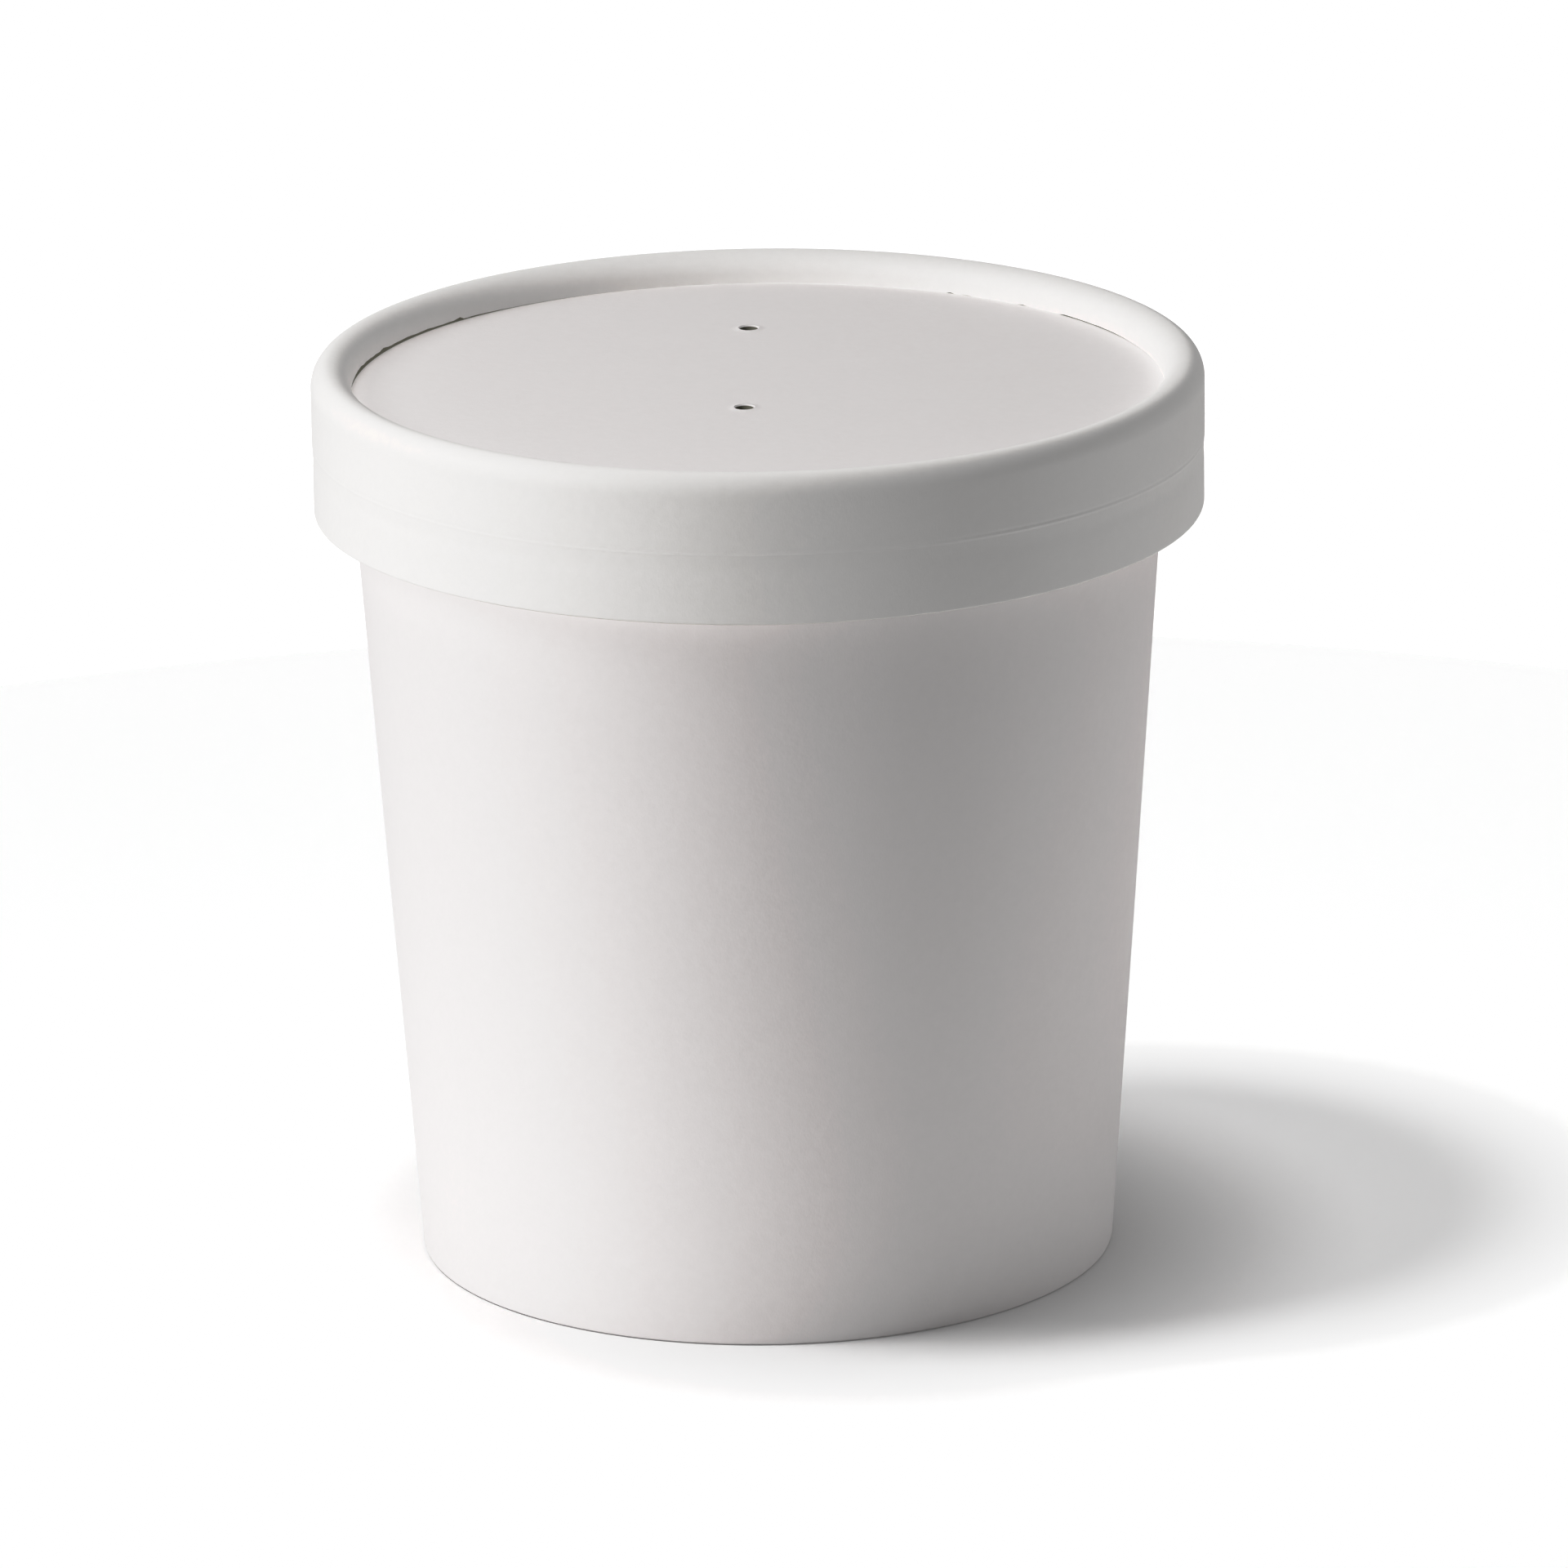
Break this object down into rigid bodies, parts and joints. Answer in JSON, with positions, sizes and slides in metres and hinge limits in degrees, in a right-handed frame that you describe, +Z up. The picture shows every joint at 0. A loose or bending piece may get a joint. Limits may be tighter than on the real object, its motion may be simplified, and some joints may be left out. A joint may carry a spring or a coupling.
{
  "type": "takeaway soup container",
  "caption": "Tapered white paper soup cup on a hollow foot, shut by a vented paper lid with a rolled ring round a sunken disc.",
  "frame": {"origin": "middle of the foot's underside, on the surface the container stands on", "axes": "+Z up along the cup's axis; -Y is the side that faces the picture's camera, +X to its right; the two vents lie along Y"},
  "size_m": [0.102, 0.102, 0.1053],
  "materials": {
    "cup_paper": "matte",
    "base_paper": "matte",
    "lid_paper": "matte",
    "disc_paper": "matte"
  },
  "bodies": {
    "root": {"cup_body": "cup_paper", "cup_base": "base_paper", "lid_band": "lid_paper", "lid_disc": "disc_paper"}
  },
  "joints": []
}
